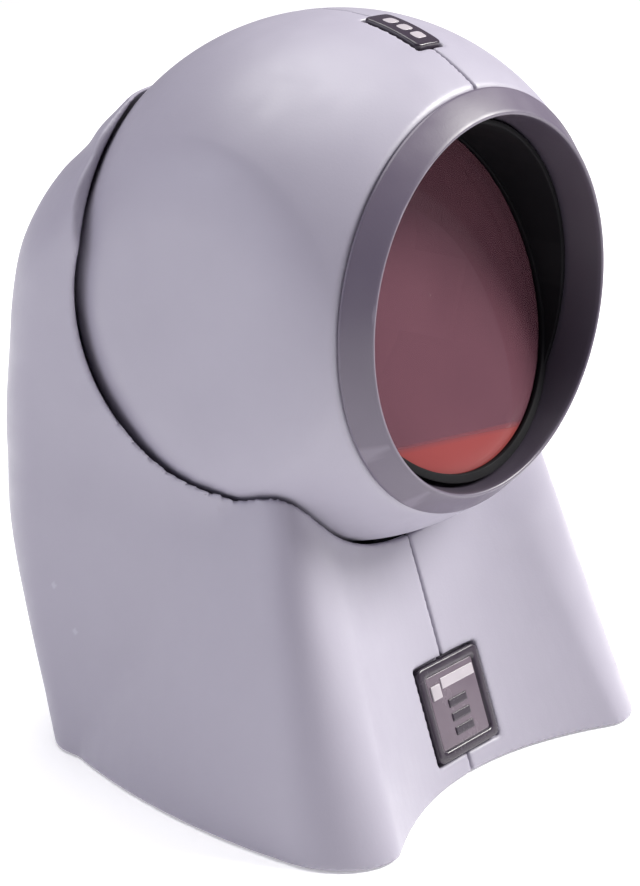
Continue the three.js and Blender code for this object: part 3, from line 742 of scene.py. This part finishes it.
def badge_frame(x, y, z):
    """The badge's plate with its sunk field, in badge coordinates."""
    h = BADGE_HALF
    body = rounded_box(x, y, z, (-h, -3.0, -h), (h, 3.0, h), 1.7)
    body = smooth_max(smooth_max(body, -1.0 - y, 0.3), y - 1.2, 0.5)
    recess = rounded_box(x, y, z, (-7.9, 0.55, -7.9), (7.9, 6, 7.9), 0.8)
    return smooth_max(body, -recess, 0.3)


def badge_inlay(name, low, high, rounding, step, material):
    """One flat piece of the badge's print, between two corners in badge coordinates."""
    margin = 0.3
    grown_low = [v - margin for v in low]
    grown_high = [v + margin for v in high]
    add_net(
        name, lambda x, y, z: rounded_box(x, y, z, low, high, rounding), grown_low, grown_high,
        step, badge_seat, material, "stand",
    )


def front_badge():
    """A dark framed plate with a pale band, a pale dot that is a painted glint, and three generic bars."""
    add_net(
        "badge_plate", badge_frame, (-10.4, -1.8, -10.4), (10.4, 2.2, 10.4), 0.26,
        badge_seat, SMOKE, "stand", ["front_badge"],
    )
    badge_inlay("badge_field_sheet", (-7.7, 0.45, -7.7), (7.7, 0.75, 7.7), 0.14, 0.2, BADGE_FIELD)
    badge_inlay("badge_band", (-3.4, 0.6, 4.1), (7.2, 0.95, 6.4), 0.16, 0.12, PALE)
    # Painted highlight: a pale dome standing in for a glint on the glossy badge.
    badge_inlay("badge_painted_glint", (-6.9, 0.6, 2.6), (-3.9, 1.05, 5.6), 0.2, 0.12, PALE)
    for k in range(3):
        low = -5.9 + 2.9 * k
        badge_inlay(f"badge_bar_{k + 1}", (-2.6, 0.6, low), (3.2, 0.98, low + 1.7), 0.16, 0.12, SMOKE)


def add_upright(name, node, profile, material, sides=48):
    """A small piece turned about an upright axis at its CAD node's middle, from (radius, z) points."""
    low, high = (np.array(c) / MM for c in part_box(node))
    middle = (low + high) / 2
    ring = softened([(r, z, 0) for r, z in profile], 0.35)
    count = len(ring)
    points = []
    for s in range(sides):
        a = 2 * math.pi * s / sides
        for r, z, _ in ring:
            points.append((middle[0] + r * math.cos(a), middle[1] + r * math.sin(a), z))
    faces = []
    for s in range(sides):
        n = (s + 1) % sides
        for i in range(count - 1):
            faces.append((s * count + i, s * count + i + 1, n * count + i + 1, n * count + i))
        faces.append((s * count + count - 1, s * count, n * count, n * count + count - 1))
    piece = add_object(name, points, faces, material, "stand", [node])
    face_outwards(piece)


def feet():
    for place in ("front", "rear"):
        for side in ("left", "right"):
            node = f"foot_{place}_{side}"
            profile = [(0.05, 0.0), (4.6, 0.0), (5.0, 0.4), (5.0, 1.5), (0.05, 1.5)]
            add_upright(f"{node}_pad", node, profile, RUBBER)


def wire_mesh(route, radius):
    """The mesh of a round wire along a smooth route, both in millimetres."""
    curve = bpy.data.curves.new("lead_route", "CURVE")
    curve.dimensions = "3D"
    spline = curve.splines.new("NURBS")
    spline.points.add(len(route) - 1)
    for point, place in zip(spline.points, route):
        point.co = (*(v * MM for v in place), 1)
    spline.use_endpoint_u = True
    spline.order_u = 4
    spline.resolution_u = 8
    curve.bevel_depth = radius * MM
    curve.bevel_resolution = 4
    curve.use_fill_caps = True
    maker = bpy.data.objects.new("lead_maker", curve)
    bpy.context.collection.objects.link(maker)
    bpy.context.view_layer.update()
    mesh = bpy.data.meshes.new_from_object(maker.evaluated_get(bpy.context.evaluated_depsgraph_get()))
    bpy.data.objects.remove(maker)
    return mesh


def lead():
    """The inner harness from the jack board up into the head."""
    route = [
        (0, 13.7, 77.4), (0, 14, 72), (0, 18.5, 62), (0, 22, 55.5), (0, 22.6, 49),
        (0, 20, 40), (0, 16.6, 30), (0, 15, 21), (0, 15, 11.4),
    ]
    mesh = wire_mesh(route, 1.25)
    mesh.polygons.foreach_set("use_smooth", [True] * len(mesh.polygons))
    mesh.materials.clear()
    mesh.materials.append(BLACK)
    piece = bpy.data.objects.new("inner_lead", mesh)
    bpy.context.collection.objects.link(piece)
    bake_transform(piece)
    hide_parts("inner_harness")


# ---- head pieces ----
def crown(points):
    """Lens coordinates (across, along, out) to the row frame."""
    across, along, out = points.T
    cos, sin = math.cos(LENS_LEAN), math.sin(LENS_LEAN)
    return np.stack([across, BALL[1] + along * cos - out * sin, BALL[2] + out * cos + along * sin], axis=1)


def lens_field(x, y, z):
    """The lens from its own middle: upright sides under a piece of ball, with a flat bottom."""
    low = (-LENS_HALF_WIDTH, -LENS_HALF_LENGTH, 40)
    side = rounded_box(x, y, z, low, (LENS_HALF_WIDTH, LENS_HALF_LENGTH, 64), 1.2)
    radius = np.sqrt(x * x + y * y + z * z)
    return smooth_max(smooth_max(side, radius - (BALL_R + LENS_PROUD), 0.5), LENS_BOTTOM - z, 0.3)


def lens_lamp(x, y, z, along):
    """One pale window in the lens, at a distance along it."""
    side = rounded_box(x, y, z, (-1.6, along - 1.2, 40), (1.6, along + 1.2, 64), 0.8)
    radius = np.sqrt(x * x + y * y + z * z)
    return np.maximum(np.maximum(side, radius - (BALL_R + 0.6)), BALL_R - radius)


def crown_lens():
    """The dark lens on the head's crown and its three pale windows."""
    add_net(
        "crown_lens", lens_field, (-4.2, -7.5, 48), (4.2, 7.5, 53.8), 0.2,
        crown, SMOKE, "head", ["indicator_lens"],
    )
    for k, along in enumerate((-3.6, -0.2, 3.2)):
        add_net(
            f"crown_window_{k + 1}", lambda x, y, z, a=along: lens_lamp(x, y, z, a),
            (-2.0, along - 1.6, 50), (2.0, along + 1.6, 53.6), 0.13, crown, PALE, "head",
        )


def window_pieces():
    """The bezel ring, the black inner hood, the tilted pane and its gasket."""
    ring = square([
        (BEZEL_R, BEZEL_BACK), (BEZEL_R, BEZEL_BACK + 0.6), (LIP_R + 0.45, LIP_FORWARD - 0.35),
        (LIP_R, LIP_FORWARD), (LIP_R - 0.5, LIP_FORWARD - 0.2), (RING_BORE_R, 30.6), (34.8, 26), (36, 26),
        (36.4, BEZEL_BACK),
    ])
    add_turned("bezel_ring_skin", ring, 0.5, TRIM, "bezel_ring")
    f = WINDOW_FORWARD
    inside = TUBE_R - TUBE_WALL
    tube = [(TUBE_R, f - 3.1, 1), (TUBE_R, TUBE_FRONT, 0), (inside, TUBE_FRONT, 0), (inside, f - 3.1, 1)]
    add_turned("inner_hood_tube", tube, 0.25, BLACK, "inner_hood")
    ledge = [
        (TUBE_R - 0.02, f - 3.0, 1), (TUBE_R - 0.02, f + 2.2, 1), (inside - 0.6, f + 2.2, 1),
        (inside - 0.6, f + 1.4, 1), (inside + 0.02, f + 1.4, 1), (inside + 0.02, f - 3.0, 1),
    ]
    add_turned("inner_hood_ledge", ledge, 0.25, BLACK, "inner_hood")
    front, back = f + PANE_HALF, f - PANE_HALF
    pane = [(0.05, front, 1), (WINDOW_R, front, 1), (WINDOW_R, back, 1), (0.05, back, 1)]
    add_turned("window_pane_skin", pane, 0.25, PANE, "window_pane")
    gasket = [
        (WINDOW_R, f - 1.4, 1), (GASKET_R, f - 1.4, 1), (GASKET_R, f - 2.5, 1), (WINDOW_R, f - 2.5, 1),
    ]
    add_turned("window_gasket_skin", gasket, 0.2, RUBBER, "window_gasket")


# ---- carried-over CAD nodes ----
def finish_cad_nodes():
    """Gives each CAD node that still shows its material and softly worn edges."""
    looks = {
        "black_plastic": BLACK, "rubber": RUBBER, "steel": STEEL, "zinc": ZINC, "alloy": ALLOY,
        "mirror": SILVER, "circuit_board": BOARD, "copper": COPPER, "led_red": LAMP_RED,
        "led_green": LAMP_GREEN, "trim_plastic": TRIM, "smoked_plastic": SMOKE, "shell_plastic": SHELL,
        "red_window": PANE,
    }
    slots = {part["node"]: part["material_slot"] for part in frame["record"]["subparts"]}
    for name, piece in frame["nodes"].items():
        piece.data.materials.clear()
        piece.data.materials.append(looks[slots[name]])
        bevel = piece.modifiers.new("soft_edges", "BEVEL")
        bevel.width = 0.15 * MM
        bevel.segments = 2
        bevel.limit_method = "ANGLE"


# ---- surroundings ----
def floor():
    mesh = bpy.data.meshes.new("floor")
    half = 6.0
    corners = [(-half, -half, 0), (half, -half, 0), (half, half, 0), (-half, half, 0)]
    mesh.from_pydata(corners, [], [(0, 1, 2, 3)])
    nodes = Nodes("floor_paper")
    tone = nodes.tones(nodes.noise(3, 2), (0.93, 0.93, 0.935), (0.95, 0.95, 0.955))
    nodes.colour(tone)
    nodes.set(roughness=0.9, emission_color=(1, 1, 1, 1), emission_strength=0.25)
    mesh.materials.append(nodes.material)
    ground = bpy.data.objects.new("floor", mesh)
    bpy.context.collection.objects.link(ground)


def area_light(name, place, aim, size, power, tint):
    """A soft round light that looks at a point."""
    data = bpy.data.lights.new(name, "AREA")
    data.shape = "DISK"
    data.size = size
    data.energy = power
    data.color = tint
    light = bpy.data.objects.new(name, data)
    light.location = place
    light.rotation_euler = (Vector(aim) - Vector(place)).to_track_quat("-Z", "Y").to_euler()
    bpy.context.collection.objects.link(light)


def surroundings():
    floor()
    aim = (0, 0, 0.07)
    area_light("key", (0.85, -0.75, 0.95), aim, 0.7, 35, (1.0, 1.0, 0.95))
    area_light("top", (0.0, 0.25, 1.3), aim, 1.1, 15, (1.0, 1.0, 0.98))
    area_light("rear", (-0.95, 0.6, 0.45), aim, 0.8, 3.4, (0.88, 0.90, 1.0))
    world = bpy.data.worlds.new("studio")
    bpy.context.scene.world = world
    world.use_nodes = True
    world.node_tree.nodes["Background"].inputs["Color"].default_value = (0.90, 0.84, 1.0, 1)
    world.node_tree.nodes["Background"].inputs["Strength"].default_value = 0.2
    bpy.context.scene.view_settings.view_transform = "Standard"


def camera():
    place = Vector((-0.3308, -0.2835, 0.2056))
    aim = Vector((-0.0097, -0.0095, 0.0664))
    roll = math.radians(-0.59)
    data = bpy.data.cameras.new("camera")
    data.sensor_width = 36
    data.lens = 90.96
    data.clip_start = 0.01
    view = bpy.data.objects.new("camera", data)
    turn = (aim - place).to_track_quat("-Z", "Y").to_matrix().to_4x4()
    view.matrix_world = Matrix.Translation(place) @ turn @ Matrix.Rotation(roll, 4, "Z")
    bpy.context.collection.objects.link(view)
    bpy.context.scene.camera = view


def shells():
    inner_x = SEAM - STEP * 2.5
    both_sides("stand", stand_field, (inner_x, -55, -1), (56, 56, 137), SHELL, "stand")
    both_sides("head", head_field, (inner_x, -62, 43), (47, 49, 153), SHELL, "head")


camera()
surroundings()
finish_cad_nodes()
shells()
window_pieces()
crown_lens()
front_badge()
feet()
lead()
